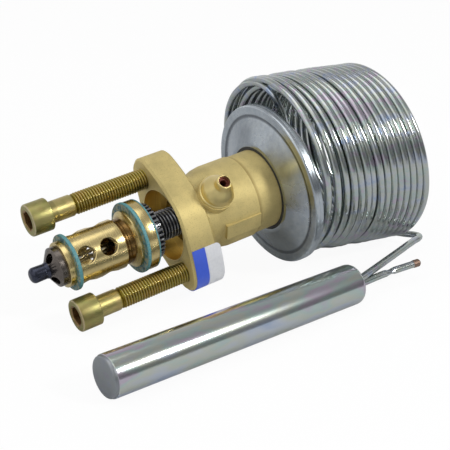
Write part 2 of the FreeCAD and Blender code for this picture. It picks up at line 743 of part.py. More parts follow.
def build():
    screws = {
        "cap_screw_upper": (UPPER_SCREW_FACE, 1),
        "cap_screw_lower": (LOWER_SCREW_FACE, -1),
    }
    leaning = {
        "valve_body": valve_body, "equalizer_fitting": equalizer_fitting, "label": label,
        "head_lower_cup": head_lower_cup, "head_upper_cup": head_upper_cup,
        "diaphragm": diaphragm, "neck_seal": neck_seal, "capillary_collar": capillary_collar,
        "buffer_plate": buffer_plate, "push_rod": push_rod, "rod_packing": rod_packing,
        "spring_retainer": spring_retainer, "superheat_spring": superheat_spring,
        "adjusting_sleeve": adjusting_sleeve, "adjusting_gear": adjusting_gear,
        "cage_body": cage_body, "cage_front_gasket": cage_front_gasket,
        "cage_rear_gasket": cage_rear_gasket, "cage_lower_gasket": cage_lower_gasket,
        "cage_nose": cage_nose, "nose_plug": nose_plug, "valve_pin": valve_pin,
    }
    parts = {name: leaned(make()) for name, make in leaning.items()}
    for name, place in screws.items():
        parts[name] = leaned(cap_screw(*place))
    lying = {
        "capillary_coil": capillary_coil, "capillary_riser": capillary_riser,
        "capillary_tail": capillary_tail, "bulb_shell": bulb_shell,
        "bulb_end_disc": bulb_end_disc, "fill_tube": fill_tube, "fill_tube_end": fill_tube_end,
    }
    parts.update({name: make() for name, make in lying.items()})
    return parts


def main():
    os.makedirs("parts", exist_ok=True)
    for name, shape in build().items():
        if len(shape.Solids) != 1 or not shape.isValid():
            raise RuntimeError("%s is not one valid solid: %d" % (name, len(shape.Solids)))
        shape.Solids[0].exportStep("parts/%s.step" % name)
        print(name, round(shape.Volume, 1))


main()
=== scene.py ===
"""Looks of the take-apart expansion valve: finishes, threads, the wound capillary and the studio.

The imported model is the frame. Every piece is made in the frame's own metres, on the valve's
leaning axis or along the bulb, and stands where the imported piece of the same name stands.
"""

import bmesh
import bpy
import json
import math
from mathutils import Matrix, Vector


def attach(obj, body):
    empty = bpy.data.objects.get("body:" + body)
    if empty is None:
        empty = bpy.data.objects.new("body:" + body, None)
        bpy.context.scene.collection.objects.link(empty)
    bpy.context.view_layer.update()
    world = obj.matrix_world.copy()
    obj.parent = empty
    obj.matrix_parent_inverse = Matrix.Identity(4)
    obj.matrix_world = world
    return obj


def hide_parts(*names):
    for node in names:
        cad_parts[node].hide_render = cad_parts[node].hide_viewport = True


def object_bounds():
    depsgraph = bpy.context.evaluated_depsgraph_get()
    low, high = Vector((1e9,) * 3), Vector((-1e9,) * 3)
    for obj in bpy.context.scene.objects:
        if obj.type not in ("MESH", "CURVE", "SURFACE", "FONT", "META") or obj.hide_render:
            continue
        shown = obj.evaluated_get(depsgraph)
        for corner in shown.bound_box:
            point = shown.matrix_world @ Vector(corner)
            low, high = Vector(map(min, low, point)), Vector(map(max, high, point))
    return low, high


bl_info = {
    "name": "Expansion Valve Dresser",
    "version": (1, 0, 0),
    "blender": (4, 5, 0),
    "location": "View3D > Sidebar > Valve",
    "description": "Gives a packed expansion valve its finishes, threads, wound capillary and studio",
    "category": "Object",
}

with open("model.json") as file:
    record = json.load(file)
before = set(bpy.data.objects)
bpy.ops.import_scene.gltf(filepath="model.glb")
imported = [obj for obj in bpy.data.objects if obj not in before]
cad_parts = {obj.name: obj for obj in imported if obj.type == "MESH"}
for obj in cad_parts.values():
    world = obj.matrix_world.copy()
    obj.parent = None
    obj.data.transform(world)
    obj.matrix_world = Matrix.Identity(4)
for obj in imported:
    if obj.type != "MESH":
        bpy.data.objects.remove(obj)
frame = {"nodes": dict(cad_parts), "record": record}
CAD_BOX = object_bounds()
MOUNTS = {mount["name"]: mount for mount in frame["record"]["mounts"]}
SLOTS = {row["node"]: row["material_slot"] for row in frame["record"]["subparts"]}
MM = 0.001

# The valve axis leans, and the bulb lies at its own angle on the table
AXIS = -Vector(MOUNTS["flange_joint"]["axis"])
LEAN = math.atan2(AXIS.z, AXIS.x)
VALVE = Matrix.Rotation(-LEAN, 4, "Y")
BULB_WAY = -Vector(MOUNTS["bulb_clamp"]["axis"])
TABLE_Z = CAD_BOX[0].z
EAR_ANGLE = math.radians(53.6)

# Sizes in millimetres: stations run along the valve axis from the flange joint, radii out from it
SCREW_OFFSET = 18.6
SCREW_R = 3.97
SCREW_HEAD_R = 5.95
SCREW_HEAD_T = 7.94
SCREW_LENGTH = 50.8
SOCKET_FLATS = 6.35
HEADS_END = -36.4
RECESS_R = 13.7
RECESS_DEPTH = 12.05
FITTING_STATION = 17.2
FITTING_SEAT = 16.15
FITTING_BORE_R = 2.1
FITTING_ANGLE = math.radians(134.9)
LABEL_FRONT = 0.9
LABEL_REAR = 12.7
LABEL_REACH = -14.0
LABEL_CORNER_R = 1.9
NECK_R = 15.3
SEAL_R = 16.5
CUP_FRONT = 42.5
SEAL_REAR = 43.4
RIM_FRONT = 46.4
RIM_JOINT = 48.3
RIM_REAR = 50.2
RIM_R = 31.5
CUP_REAR = 55.6
CAGE_FRONT = -42.3
BARREL_FRONT = -38.4
ROW_SPLIT = -30.5
BARREL_REAR = -22.0
FLANGE_FRONT = -12.9
FLANGE_REAR = -9.4
CAGE_R = 9.2
CAGE_BORE_R = 6.5
CAGE_SPIGOT_R = 8.4
CAGE_GROOVE_R = 8.3
CAGE_PILOT_R = 10.6
CAGE_FLANGE_R = 13.1
CROSS_HOLE_R = 3.2
SLEEVE_FRONT = -11.6
SLEEVE_REAR = 12.4
SLEEVE_R = 5.6
SLEEVE_BORE_R = 4.3
SLEEVE_EYE_R = 1.56
PLUG_FRONT = -53.9
PLUG_REAR = -47.3
PLUG_R = 2.9
BULB_LENGTH = 107.0
BULB_R = 7.5
BULB_CAP_T = 1.4
CLAMP_STATION = 54.0
FILL_LENGTH = 30.0
FILL_HEIGHT = -1.3
PINCH_STATION = 18.6
PINCH_REACH = 2.4
PINCH_DEPTH = 0.45
BULB_PLACE = (Matrix.Translation(Vector(MOUNTS["bulb_clamp"]["pos_m"]) - BULB_WAY * CLAMP_STATION * MM)
              @ Matrix.Rotation(math.atan2(BULB_WAY.y, BULB_WAY.x), 4, "Z"))

# The wound capillary has slumped: its turns lean as the head does, and their line slants in plan
COIL_R = 36.4
COIL_FRONT, COIL_REAR = 50.9, 96.66
COIL_FRONT_Y, COIL_REAR_Y = 4.9, -3.1
COIL_SLANT = (COIL_REAR_Y - COIL_FRONT_Y) / (COIL_REAR - COIL_FRONT)
COIL = Matrix((
    (1, 0, -math.sin(LEAN), 0),
    (COIL_SLANT, 1, 0, (COIL_FRONT_Y - COIL_SLANT * COIL_FRONT) * MM),
    (0, 0, math.cos(LEAN), TABLE_Z + COIL_R * math.cos(LEAN) * MM),
    (0, 0, 0, 1)))
OUTER_START, INNER_START = 52.6, 57.0
INNER_TURNS = 13.6
LAYER_GAP = 2.75
COIL_SLACK = 0.14
CROSSING_TURNS = (2.75, 6.75)

# The photograph's camera, the lamps as (name, place, size, power, aim), and the table's white
CAMERA_PLACE = (-0.1956, -0.3350, 0.1749)
CAMERA_WAY = (0.5046, 0.7590, -0.4115)
CAMERA_LENS = 92.96
LAMPS = (("Key", (0.42, -0.62, 0.54), 0.13, 3.7, (0.02, 0, 0)),
         ("Top", (-0.15, 0.10, 1.00), 0.80, 2.5, (0.02, 0, 0)),
         ("Left", (-0.75, -0.35, 0.55), 1.00, 2.4, (0, 0, 0)))
TABLE_GLOW = 0.94


# Sizes a user would change

class ValveSizes(bpy.types.PropertyGroup):
    """Sizes of the threads and of the wound capillary."""
    screw_pitch: bpy.props.FloatProperty(
        name="Screw pitch", description="Thread pitch of the cap screws", default=1.058 * MM, unit="LENGTH")
    sleeve_pitch: bpy.props.FloatProperty(
        name="Sleeve pitch", description="Thread pitch of the adjusting sleeve", default=1.27 * MM,
        unit="LENGTH")
    coil_turns: bpy.props.FloatProperty(
        name="Coil turns", description="Outer turns of the wound capillary", default=15.311)
    coil_pitch: bpy.props.FloatProperty(
        name="Coil pitch", description="Distance between neighbouring turns", default=2.72 * MM,
        unit="LENGTH")
    tube_radius: bpy.props.FloatProperty(
        name="Capillary radius", description="Outside radius of the capillary", default=1.34 * MM,
        unit="LENGTH")
    wander: bpy.props.FloatProperty(
        name="Coil wander", description="How far hand winding leaves a true circle", default=0.3 * MM,
        unit="LENGTH")
    dip: bpy.props.FloatProperty(
        name="Coil dip", description="How far a crossing turn sinks between its neighbours",
        default=0.8 * MM, unit="LENGTH")


class ValveColours(bpy.types.PropertyGroup):
    """Base colours of the finishes."""
    forged: bpy.props.FloatVectorProperty(
        name="Forged brass", description="Matte body", subtype="COLOR", default=(0.68, 0.555, 0.235))
    turned: bpy.props.FloatVectorProperty(
        name="Turned brass", description="Cage and equalizer", subtype="COLOR", default=(0.73, 0.585, 0.27))
    yellow_zinc: bpy.props.FloatVectorProperty(
        name="Yellow zinc", description="Cap screws", subtype="COLOR", default=(0.38, 0.335, 0.14))
    zinc: bpy.props.FloatVectorProperty(
        name="Zinc plate", description="Power head", subtype="COLOR", default=(0.50, 0.54, 0.56))
    bright_zinc: bpy.props.FloatVectorProperty(
        name="Bright zinc", description="Capillary and bulb", subtype="COLOR", default=(0.60, 0.63, 0.67))
    gasket: bpy.props.FloatVectorProperty(
        name="Gasket", description="Fibre gaskets", subtype="COLOR", default=(0.07, 0.22, 0.24))
    label_blue: bpy.props.FloatVectorProperty(
        name="Label blue", description="Dark field of the label", subtype="COLOR",
        default=(0.06, 0.13, 0.70))


# Mesh helpers

def on_valve(x, radius=0.0, angle=0.0):
    """A point by its station along the valve axis, radius and angle from +Y, in millimetres."""
    return VALVE @ (Vector((x, radius * math.cos(angle), radius * math.sin(angle))) * MM)


def on_bulb(x, side, up):
    """A point by its distance along the bulb from the bulb's left end, in millimetres."""
    return BULB_PLACE @ (Vector((x, side, up)) * MM)


def on_coil(x, radius, degrees):
    """A point by a turn's station, its radius and its angle from +Y, in millimetres."""
    angle = math.radians(degrees)
    return COIL @ (Vector((x, radius * math.cos(angle), radius * math.sin(angle))) * MM)


def rounded(profile, steps=5):
    """Arcs of the given fillet radius at the corners of a closed (x, radius, fillet) profile."""
    done = []
    count = len(profile)
    for i, point in enumerate(profile):
        fillet = point[2] if len(point) > 2 else 0.0
        here = Vector(point[:2])
        if not fillet:
            done.append(here)
            continue
        before = (Vector(profile[i - 1][:2]) - here).normalized()
        after = (Vector(profile[(i + 1) % count][:2]) - here).normalized()
        half = before.angle(after) / 2
        centre = here + (before + after).normalized() * fillet / math.sin(half)
        start = here + before * fillet / math.tan(half) - centre
        end = here + after * fillet / math.tan(half) - centre
        turn = start.angle_signed(end)
        for k in range(steps + 1):
            a = -turn * k / steps
            done.append(centre + Vector((start.x * math.cos(a) - start.y * math.sin(a),
                                         start.x * math.sin(a) + start.y * math.cos(a))))
    return [tuple(point) for point in done]


def revolve(bm, loops, sides, closed=True):
    """Joins loops into a shell; a loop is (station, radius or function of the angle)."""
    rows = []
    for x, radius in loops:
        if not callable(radius) and abs(radius) < 1e-6:
            rows.append([bm.verts.new((x, 0, 0))])
            continue
        row = []
        for k in range(sides):
            angle = 2 * math.pi * k / sides
            r = radius(angle) if callable(radius) else radius
            row.append(bm.verts.new((x, r * math.cos(angle), r * math.sin(angle))))
        rows.append(row)
    for near, far in zip(rows, rows[1:] + rows[:closed]):
        for k in range(sides):
            m = (k + 1) % sides
            corners = []
            for vert in (near[k % len(near)], near[m % len(near)], far[m % len(far)], far[k % len(far)]):
                if vert not in corners:
                    corners.append(vert)
            if len(corners) > 2:
                bm.faces.new(corners)
    bmesh.ops.recalc_face_normals(bm, faces=bm.faces)


def linked(name, data):
    """A new object in the scene for a mesh, curve, lamp or camera."""
    holder = bpy.data.objects.new(name, data)
    bpy.context.scene.collection.objects.link(holder)
    return holder


def meshed(bm, name):
    """The mesh of a bmesh, which is freed."""
    mesh = bpy.data.meshes.new(name)
    bm.to_mesh(mesh)
    bm.free()
    return mesh


def smoothed(mesh, sharp):
    """A mesh shaded smooth, but for edges that turn by more than an angle in degrees."""
    mesh.shade_smooth()
    mesh.set_sharp_from_angle(angle=math.radians(sharp))
    return mesh


def settle(bm, name, place, sharp=35.0):
    """Turns a bmesh in millimetres into an object at the origin, smooth but for its sharp edges."""
    bmesh.ops.scale(bm, vec=(MM, MM, MM), verts=bm.verts)
    bmesh.ops.transform(bm, matrix=place, verts=bm.verts)
    return linked(name, smoothed(meshed(bm, name), sharp))


def turned(name, profile, place=VALVE, sides=96):
    """A turned piece from a closed profile of (station, radius, fillet) corners."""
    bm = bmesh.new()
    revolve(bm, rounded(profile), sides)
    return settle(bm, name, place)


def threaded_loops(start, end, radius, pitch, depth, per_pitch=8):
    """Loops of a threaded rod: the radius follows a triangle wave that climbs with the angle."""
    count = max(2, round((end - start) / pitch * per_pitch))
    loops = []
    for i in range(count + 1):
        x = start + (end - start) * i / count
        ends = min(x - start, end - x)
        bevel = max(0.0, depth * 1.3 - ends)

        def at(angle, x=x, bevel=bevel):
            phase = (x / pitch - angle / (2 * math.pi)) % 1.0
            wave = min(1.0, 1.12 * abs(2 * phase - 1))
            return min(radius - depth * (1 - wave), radius - bevel)

        loops.append((x, at))
    return loops


def merged(node):
    """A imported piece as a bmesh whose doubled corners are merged."""
    bm = bmesh.new()
    bm.from_mesh(frame["nodes"][node].data)
    bmesh.ops.remove_doubles(bm, verts=bm.verts, dist=0.002 * MM)
    return bm


def finished_copy(node, name, bevel=0.0, sharp=38.0):
    """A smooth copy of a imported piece, with its corners merged and its edges broken."""
    bm = merged(node)
    bmesh.ops.dissolve_limit(bm, angle_limit=math.radians(0.8), verts=bm.verts, edges=bm.edges)
    piece = linked(name, smoothed(meshed(bm, name), sharp))
    if bevel:
        edge = piece.modifiers.new("Broken edges", "BEVEL")
        edge.width = bevel * MM
        edge.segments = 2
        edge.limit_method = "ANGLE"
        edge.angle_limit = math.radians(sharp)
    piece.modifiers.new("Even shading", "WEIGHTED_NORMAL").keep_sharp = True
    return piece


def tube(name, points, radius):
    """A round tube along a smooth line that passes through given points, with closed ends."""
    curve = bpy.data.curves.new(name, "CURVE")
    curve.dimensions = "3D"
    curve.bevel_depth = radius
    curve.bevel_resolution = 5
    curve.resolution_u = 10
    curve.use_fill_caps = True
    spline = curve.splines.new("BEZIER")
    spline.bezier_points.add(len(points) - 1)
    for point, place in zip(spline.bezier_points, points):
        point.co = place
        point.handle_left_type = point.handle_right_type = "AUTO"
    return baked(linked(name, curve), name)


def baked(holder, name):
    """The evaluated shape of an object as a plain mesh, in place of the object."""
    graph = bpy.context.evaluated_depsgraph_get()
    mesh = bpy.data.meshes.new_from_object(holder.evaluated_get(graph), depsgraph=graph)
    bpy.data.objects.remove(holder)
    mesh.name = name
    return linked(name, smoothed(mesh, 50.0))


def dress(piece, node, finish=None, body="valve"):
    """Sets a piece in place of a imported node, in its slot and on its body; the finish can be another."""
    slot = SLOTS[node]
    piece.data.materials.clear()
    piece.data.materials.append(finishes()[finish or slot])
    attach(piece, body)
    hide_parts(node)


# Node helpers

def added(tree, kind, inputs=None, **traits):
    """A new node, a shader node if its kind is short; an input takes a value or another node's socket."""
    made = tree.nodes.new(kind if "Node" in kind else "ShaderNode" + kind)
    for trait, value in traits.items():
        setattr(made, trait, value)
    for key, value in (inputs or {}).items():
        if isinstance(value, bpy.types.NodeSocket):
            tree.links.new(value, made.inputs[key])
        else:
            made.inputs[key].default_value = value
    return made


def mapped(tree, value, low, high, start=0.0, end=1.0, kind="LINEAR"):
    """The value between low and high as a number between start and end."""
    return added(tree, "MapRange", {"Value": value, "From Min": low, "From Max": high, "To Min": start,
                                    "To Max": end}, interpolation_type=kind).outputs[0]


# Winding: one tree for both layers of the capillary

WINDING_INPUTS = {
    "Float": ("Turns", "Pitch", "Radius", "Spread", "Tilt", "Dip", "Tube Radius", "Start Angle",
              "Wander", "Seed"),
    "Int": ("Steps", "Sides"),
    "Material": ("Material",),
}


def winding_tree():
    """A helix along X as tube: its first turns are tilted and spread, and a few turns dip."""
    found = bpy.data.node_groups.get("Winding")
    if found:
        return found
    tree = bpy.data.node_groups.new("Winding", "GeometryNodeTree")
    for kind, labels in WINDING_INPUTS.items():
        for label in labels:
            tree.interface.new_socket(name=label, in_out="INPUT", socket_type="NodeSocket" + kind)
    tree.interface.new_socket(name="Geometry", in_out="OUTPUT", socket_type="NodeSocketGeometry")
    given = added(tree, "NodeGroupInput").outputs
    share = added(tree, "GeometryNodeSplineParameter").outputs["Factor"]

    def maths(operation, a, b=0.0):
        return added(tree, "Math", {0: a, 1: b}, operation=operation).outputs[0]

    def eased(value, low, high, start=0.0, end=1.0):
        return mapped(tree, value, low, high, start, end, "SMOOTHSTEP")

    def strayed(speed, detail):
        place = maths("ADD", maths("MULTIPLY", turns, speed), given["Seed"])
        noise = added(tree, "TexNoise", {"W": place, "Detail": detail}, noise_dimensions="1D")
        return maths("SUBTRACT", noise.outputs[0], 0.5)

    turns = maths("MULTIPLY", share, given["Turns"])
    angle = maths("SUBTRACT", given["Start Angle"], maths("MULTIPLY", turns, 2 * math.pi))
    sunk = eased(turns, 0.0, 8.0, -0.6, 0.0)
    for crossing in CROSSING_TURNS:
        away = maths("ABSOLUTE", maths("SUBTRACT", turns, crossing))
        sunk = maths("ADD", sunk, eased(away, 0.35, 0.75, -1.0, 0.0))
    grown = maths("ADD", given["Radius"], maths("MULTIPLY", sunk, given["Dip"]))
    reach = maths("ADD", grown, maths("MULTIPLY", strayed(1.7, 1.0), given["Wander"]))
    along = maths("ADD", maths("MULTIPLY", turns, given["Pitch"]),
                  maths("MULTIPLY", given["Spread"], eased(turns, 1.3, 2.6)))
    drift = maths("MULTIPLY", strayed(0.8, 2.0), maths("MULTIPLY", given["Wander"], 3.0))
    tilt = maths("MULTIPLY", given["Tilt"], eased(turns, 0.0, 2.0, 1.0, 0.0))
    leaning = maths("MULTIPLY", tilt, maths("COSINE", angle))
    place = added(tree, "CombineXYZ", {"X": maths("ADD", maths("ADD", along, drift), leaning),
                                       "Y": maths("MULTIPLY", reach, maths("COSINE", angle)),
                                       "Z": maths("MULTIPLY", reach, maths("SINE", angle))})
    line = added(tree, "GeometryNodeCurvePrimitiveLine")
    count = maths("MULTIPLY", given["Turns"], given["Steps"])
    fine = added(tree, "GeometryNodeResampleCurve", {"Curve": line.outputs[0], "Count": count})
    helix = added(tree, "GeometryNodeSetPosition", {"Geometry": fine.outputs[0],
                                                    "Position": place.outputs[0]})
    ring = added(tree, "GeometryNodeCurvePrimitiveCircle", {"Resolution": given["Sides"],
                                                            "Radius": given["Tube Radius"]})
    skin = added(tree, "GeometryNodeCurveToMesh", {"Curve": helix.outputs[0], "Fill Caps": True,
                                                   "Profile Curve": ring.outputs[0]})
    real = added(tree, "GeometryNodeRealizeInstances", {0: skin.outputs[0]})
    paint = added(tree, "GeometryNodeSetMaterial", {"Geometry": real.outputs[0],
                                                    "Material": given["Material"]})
    added(tree, "NodeGroupOutput", {"Geometry": paint.outputs[0]})
    return tree


def wound(name, place, **values):
    """A length of wound tube as a plain mesh; the values are the winding's named inputs."""
    tree = winding_tree()
    holder = linked(name, bpy.data.meshes.new(name))
    step = holder.modifiers.new(name, "NODES")
    step.node_group = tree
    sockets = {item.name: item.identifier for item in tree.interface.items_tree if item.in_out == "INPUT"}
    for label, value in values.items():
        step[sockets[label.replace("_", " ").title()]] = value
    holder.update_tag()
    piece = baked(holder, name)
    piece.data.transform(place)
    return piece


# Material helpers

def full(colour):
    """A colour with its alpha; a plain number is a grey, and a socket stays a socket."""
    if isinstance(colour, bpy.types.NodeSocket):
        return colour
    return (colour, colour, colour, 1.0) if isinstance(colour, float) else (*colour, 1.0)


def tone(colour, gain):
    """A colour made lighter or darker."""
    return tuple(min(1.0, c * gain) for c in colour)


def new_finish(name, metallic, roughness):
    """A material, its tree, and the Object coordinates that its patterns read."""
    material = bpy.data.materials.new(name)
    material.use_nodes = True
    tree = material.node_tree
    shader = tree.nodes["Principled BSDF"]
    shader.inputs["Metallic"].default_value = metallic
    shader.inputs["Roughness"].default_value = roughness
    return material, tree, added(tree, "TexCoord").outputs["Object"]


def wired(material, **patterns):
    """Feeds patterns to the shader's inputs, such as base_color, and returns the material."""
    tree = material.node_tree
    for name, pattern in patterns.items():
        tree.links.new(pattern, tree.nodes["Principled BSDF"].inputs[name.replace("_", " ").title()])
    return material


def turned_to_axis(tree, where, stretch=(1.0, 1.0, 1.0), turn=(0.0, LEAN, 0.0)):
    """Coordinates turned to an axis (the valve's, if none is given) and stretched along it."""
    lean = added(tree, "Mapping", {"Vector": where, "Rotation": turn}).outputs[0]
    return added(tree, "Mapping", {"Vector": lean, "Scale": stretch}).outputs[0]


def cloud(tree, where, scale, detail=3.0, rough=0.55):
    """Soft noise."""
    return added(tree, "TexNoise", {"Vector": where, "Scale": scale, "Detail": detail,
                                    "Roughness": rough}).outputs[0]


def shades(tree, value, *stops):
    """A colour ramp; each stop is (place, colour), and a number is a grey."""
    ramp = added(tree, "ValToRGB", {0: value})
    marks = ramp.color_ramp.elements
    while len(marks) < len(stops):
        marks.new(0.5)
    for mark, (place, colour) in zip(marks, stops):
        mark.position = place
        mark.color = full(colour)
    return ramp.outputs[0]


def blended(tree, share, a, b, mode="MIX"):
    """Two colours mixed by a share; the share and both colours may be sockets."""
    return added(tree, "Mix", {0: share, 6: full(a), 7: full(b)}, data_type="RGBA",
                 blend_type=mode).outputs[2]


def between(tree, noise, start, end):
    """Soft noise as a number between start and end."""
    return mapped(tree, noise, 0.3, 0.7, start, end)


def scaled(tree, value, low, high):
    """The value, in metres, as a share of the way from low to high, in millimetres."""
    return mapped(tree, value, low * MM, high * MM)


def bumped(tree, height, distance, strength):
    """Shading that follows a height pattern; the distance is in millimetres."""
    return added(tree, "Bump", {"Height": height, "Distance": distance * MM,
                                "Strength": strength}).outputs[0]


def axis_measures(tree, where, *centres):
    """Station along the valve axis, and distance from the nearest of the (y, z) centres."""
    lean = turned_to_axis(tree, where)
    flat = added(tree, "VectorMath", {0: lean, 1: (0.0, 1.0, 1.0)}, operation="MULTIPLY").outputs[0]
    nearest = None
    for y, z in centres or ((0.0, 0.0),):
        away = added(tree, "VectorMath", {0: flat, 1: (0.0, y * MM, z * MM)}, operation="DISTANCE")
        reach = away.outputs["Value"]
        if nearest:
            reach = added(tree, "Math", {0: nearest, 1: reach}, operation="MINIMUM").outputs[0]
        nearest = reach
    return added(tree, "SeparateXYZ", {"Vector": lean}).outputs["X"], nearest


# Finishes

def forged_brass(colours):
    """Shot-cleaned forging, matte with a fine grain, satin rings in the bored recess, painted shade at the
    neck step.
    """
    material, tree, where = new_finish("Forged brass", 0.55, 0.55)
    base, gold = tuple(colours.forged), tuple(colours.turned)
    grain = cloud(tree, where, 2200.0, 4.0, 0.7)
    colour = shades(tree, cloud(tree, where, 90.0), (0.30, tone(base, 0.80)), (0.52, base),
                    (0.74, tone(base, 1.12)))
    speck = shades(tree, grain, (0.30, (0.62, 0.58, 0.50)), (0.48, 1.0))
    cast = blended(tree, 0.7, colour, speck, "MULTIPLY")
    station, radius = axis_measures(tree, where)
    # Painted shade: a dark band in the crease of the step into the neck, with a painted highlight on its
    # flange side; elsewhere the body is 6% darker.
    step_shade_and_highlight = shades(tree, scaled(tree, station, 30.0, 36.0), (0.30, 0.94), (0.39, 1.0),
                  (0.47, (0.66, 0.62, 0.56)), (0.56, (0.70, 0.66, 0.60)), (0.68, 0.94))
    cast = blended(tree, 1.0, cast, step_shade_and_highlight, "MULTIPLY")
    inside = scaled(tree, radius, RECESS_R + 0.05, RECESS_R - 0.05)
    front = scaled(tree, station, RECESS_DEPTH + 0.05, RECESS_DEPTH - 0.05)
    bored = added(tree, "Math", {0: inside, 1: front}, operation="MULTIPLY").outputs[0]
    rings = cloud(tree, turned_to_axis(tree, where, (9000.0, 60.0, 60.0)), 1.0, 2.0)
    satin = shades(tree, rings, (0.35, gold), (0.65, tone(gold, 1.3)))
    return wired(material, base_color=blended(tree, bored, cast, satin),
                 metallic=blended(tree, bored, 0.55, 1.0),
                 roughness=blended(tree, bored, between(tree, grain, 0.50, 0.66), 0.28),
                 normal=bumped(tree, grain, 0.12, 0.5))


def turned_brass(colours, name="Turned brass", pale=0.0, gloss=0.19):
    """Lathe-turned brass with fine rings round the valve axis; the cage's groove is painted dark brown as
    painted shade.
    """
    material, tree, where = new_finish(name, 1.0, gloss)
    base = tuple(Vector(colours.turned).lerp(Vector(colours.forged) * 1.1, pale))
    rings = cloud(tree, turned_to_axis(tree, where, (2400.0, 25.0, 25.0)), 1.0, 2.0)
    colour = shades(tree, cloud(tree, where, 160.0), (0.32, tone(base, 0.88)), (0.55, base),
                    (0.75, tone(base, 1.08)))
    station, _ = axis_measures(tree, where)
    # Painted shade: the ridged groove of the cage, from station -20 to -16, is painted dark brown.
    groove_shade = shades(tree, scaled(tree, station, BARREL_REAR, -12.0), (0.20, 1.0), (0.22, (0.30, 0.22, 0.16)),
                 (0.54, (0.34, 0.25, 0.18)), (0.60, 1.0))
    return wired(material, base_color=blended(tree, 1.0, colour, groove_shade, "MULTIPLY"),
                 roughness=between(tree, rings, gloss, gloss + 0.11))


def yellow_zinc(colours):
    """Yellow chromate over zinc: olive heads, brown sockets, pinkish shanks and crests; painted shade in the
    valleys.
    """
    material, tree, where = new_finish("Yellow zinc", 1.0, 0.34)
    base = tuple(colours.yellow_zinc)
    side = (SCREW_OFFSET * math.cos(EAR_ANGLE), SCREW_OFFSET * math.sin(EAR_ANGLE))
    station, radius = axis_measures(tree, where, side, (-side[0], -side[1]))
    reach = scaled(tree, radius, 2.0, 6.0)
    # Painted shade: the thread valleys are painted dark brown; crests and the plain shank are a lighter
    # pinkish gold.
    rod = shades(tree, reach, (0.36, (0.17, 0.12, 0.02)), (0.44, (0.41, 0.30, 0.05)),
                 (0.485, (0.55, 0.45, 0.20)))
    # Painted highlight: the chamfer round the head's face, at radius 5.4 to 5.9 mm, is painted a lighter
    # pinkish colour.
    head = shades(tree, reach, (0.46, (0.34, 0.22, 0.11)), (0.50, base), (0.84, base),
                  (0.88, (0.60, 0.50, 0.36)), (0.965, (0.54, 0.46, 0.29)), (0.985, base))
    part = blended(tree, scaled(tree, station, HEADS_END + 0.2, HEADS_END - 0.2), rod, head)
    drift = cloud(tree, where, 420.0, 4.0)
    tint = shades(tree, cloud(tree, where, 140.0, 2.0), (0.32, (0.86, 0.88, 0.78)), (0.50, 1.0),
                  (0.70, (1.0, 0.86, 0.84)))
    film = shades(tree, drift, (0.35, (0.86, 0.94, 0.78)), (0.65, (1.0, 0.97, 0.95)))
    colour = blended(tree, 0.8, part, tint, "MULTIPLY")
    return wired(material, base_color=blended(tree, 0.8, colour, film, "MULTIPLY"),
                 roughness=between(tree, drift, 0.36, 0.50), normal=bumped(tree, drift, 0.02, 0.25))


def zinc_plate(colours):
    """Dull zinc on pressed steel: grey with faint scuffs and a painted shade line in the valley inside the
    rim.
    """
    material, tree, where = new_finish("Zinc plate", 1.0, 0.36)
    base = tuple(colours.zinc)
    soft = cloud(tree, where, 70.0, 4.0)
    worn = cloud(tree, turned_to_axis(tree, where, (500.0, 500.0, 500.0)), 1.0, 5.0, 0.7)
    scuff = shades(tree, worn, (0.35, (0.84, 0.86, 0.90)), (0.62, 1.0))
    tint = shades(tree, soft, (0.3, tone(base, 0.80)), (0.5, base), (0.72, tone(base, 1.12)))
    tint = blended(tree, 1.0, tint, scuff, "MULTIPLY")
    _, radius = axis_measures(tree, where)
    # Painted shade: a dark ring in the valley inside the rim, at radius 27.2 to 28.4 mm; the face inside
    # radius 26 mm is a little darker too.
    rim_valley_shade = shades(tree, scaled(tree, radius, 20.0, 32.0), (0.0, 0.92), (0.55, 1.0),
                  (0.60, (0.45, 0.45, 0.46)), (0.66, (0.40, 0.40, 0.41)), (0.70, 1.0))
    return wired(material, base_color=blended(tree, 1.0, tint, rim_valley_shade, "MULTIPLY"),
                 roughness=between(tree, soft, 0.22, 0.30))


def bright_zinc(colours, name, gain, roughness, rainbow, scale, turn=(0.0, 0.0, 0.0)):
    """Bright zinc under a clear chromate film, whose long patches show faint rainbow tints."""
    material, tree, where = new_finish(name, 1.0, roughness)
    film = cloud(tree, turned_to_axis(tree, where, (0.45, 1.5, 1.5), turn), scale)
    tint = shades(tree, film, (0.28, (0.66, 0.78, 0.98)), (0.40, (0.95, 0.97, 1.0)),
                  (0.50, (0.98, 0.97, 0.80)), (0.56, (0.84, 0.97, 0.86)), (0.63, (0.97, 0.80, 0.88)),
                  (0.80, (0.96, 0.96, 1.0)))
    base = tone(tuple(colours.bright_zinc), gain)
    return wired(material, base_color=blended(tree, rainbow, base, tint, "MULTIPLY"))


def plain_steel(name, colour, metallic, roughness, grain=0.02, worn=None):
    """Metal with a soft grain; thread crests and the ends of teeth are lighter, as wear of the coat and as
    painted highlight.
    """
    material, tree, where = new_finish(name, metallic, roughness)
    tint = shades(tree, cloud(tree, where, 220.0), (0.3, tone(colour, 0.75)), (0.55, colour),
                  (0.75, tone(colour, 1.35)))
    if worn:
        _, radius = axis_measures(tree, where)
        # Wear and painted highlight: the sleeve's thread crests and the gear's tooth ends are painted
        # lighter.
        crest_wear_and_highlight = shades(tree, scaled(tree, radius, 5.0, 11.0), (0.055, 0.0), (0.09, 1.0), (0.12, 0.0),
                      (0.905, 0.0), (0.925, 0.35))
        tint = blended(tree, crest_wear_and_highlight, tint, worn)
    fine = cloud(tree, where, 1500.0, 4.0, 0.7)
    return wired(material, base_color=tint, normal=bumped(tree, fine, grain, 0.3),
                 roughness=between(tree, fine, roughness * 0.75, roughness * 1.3))


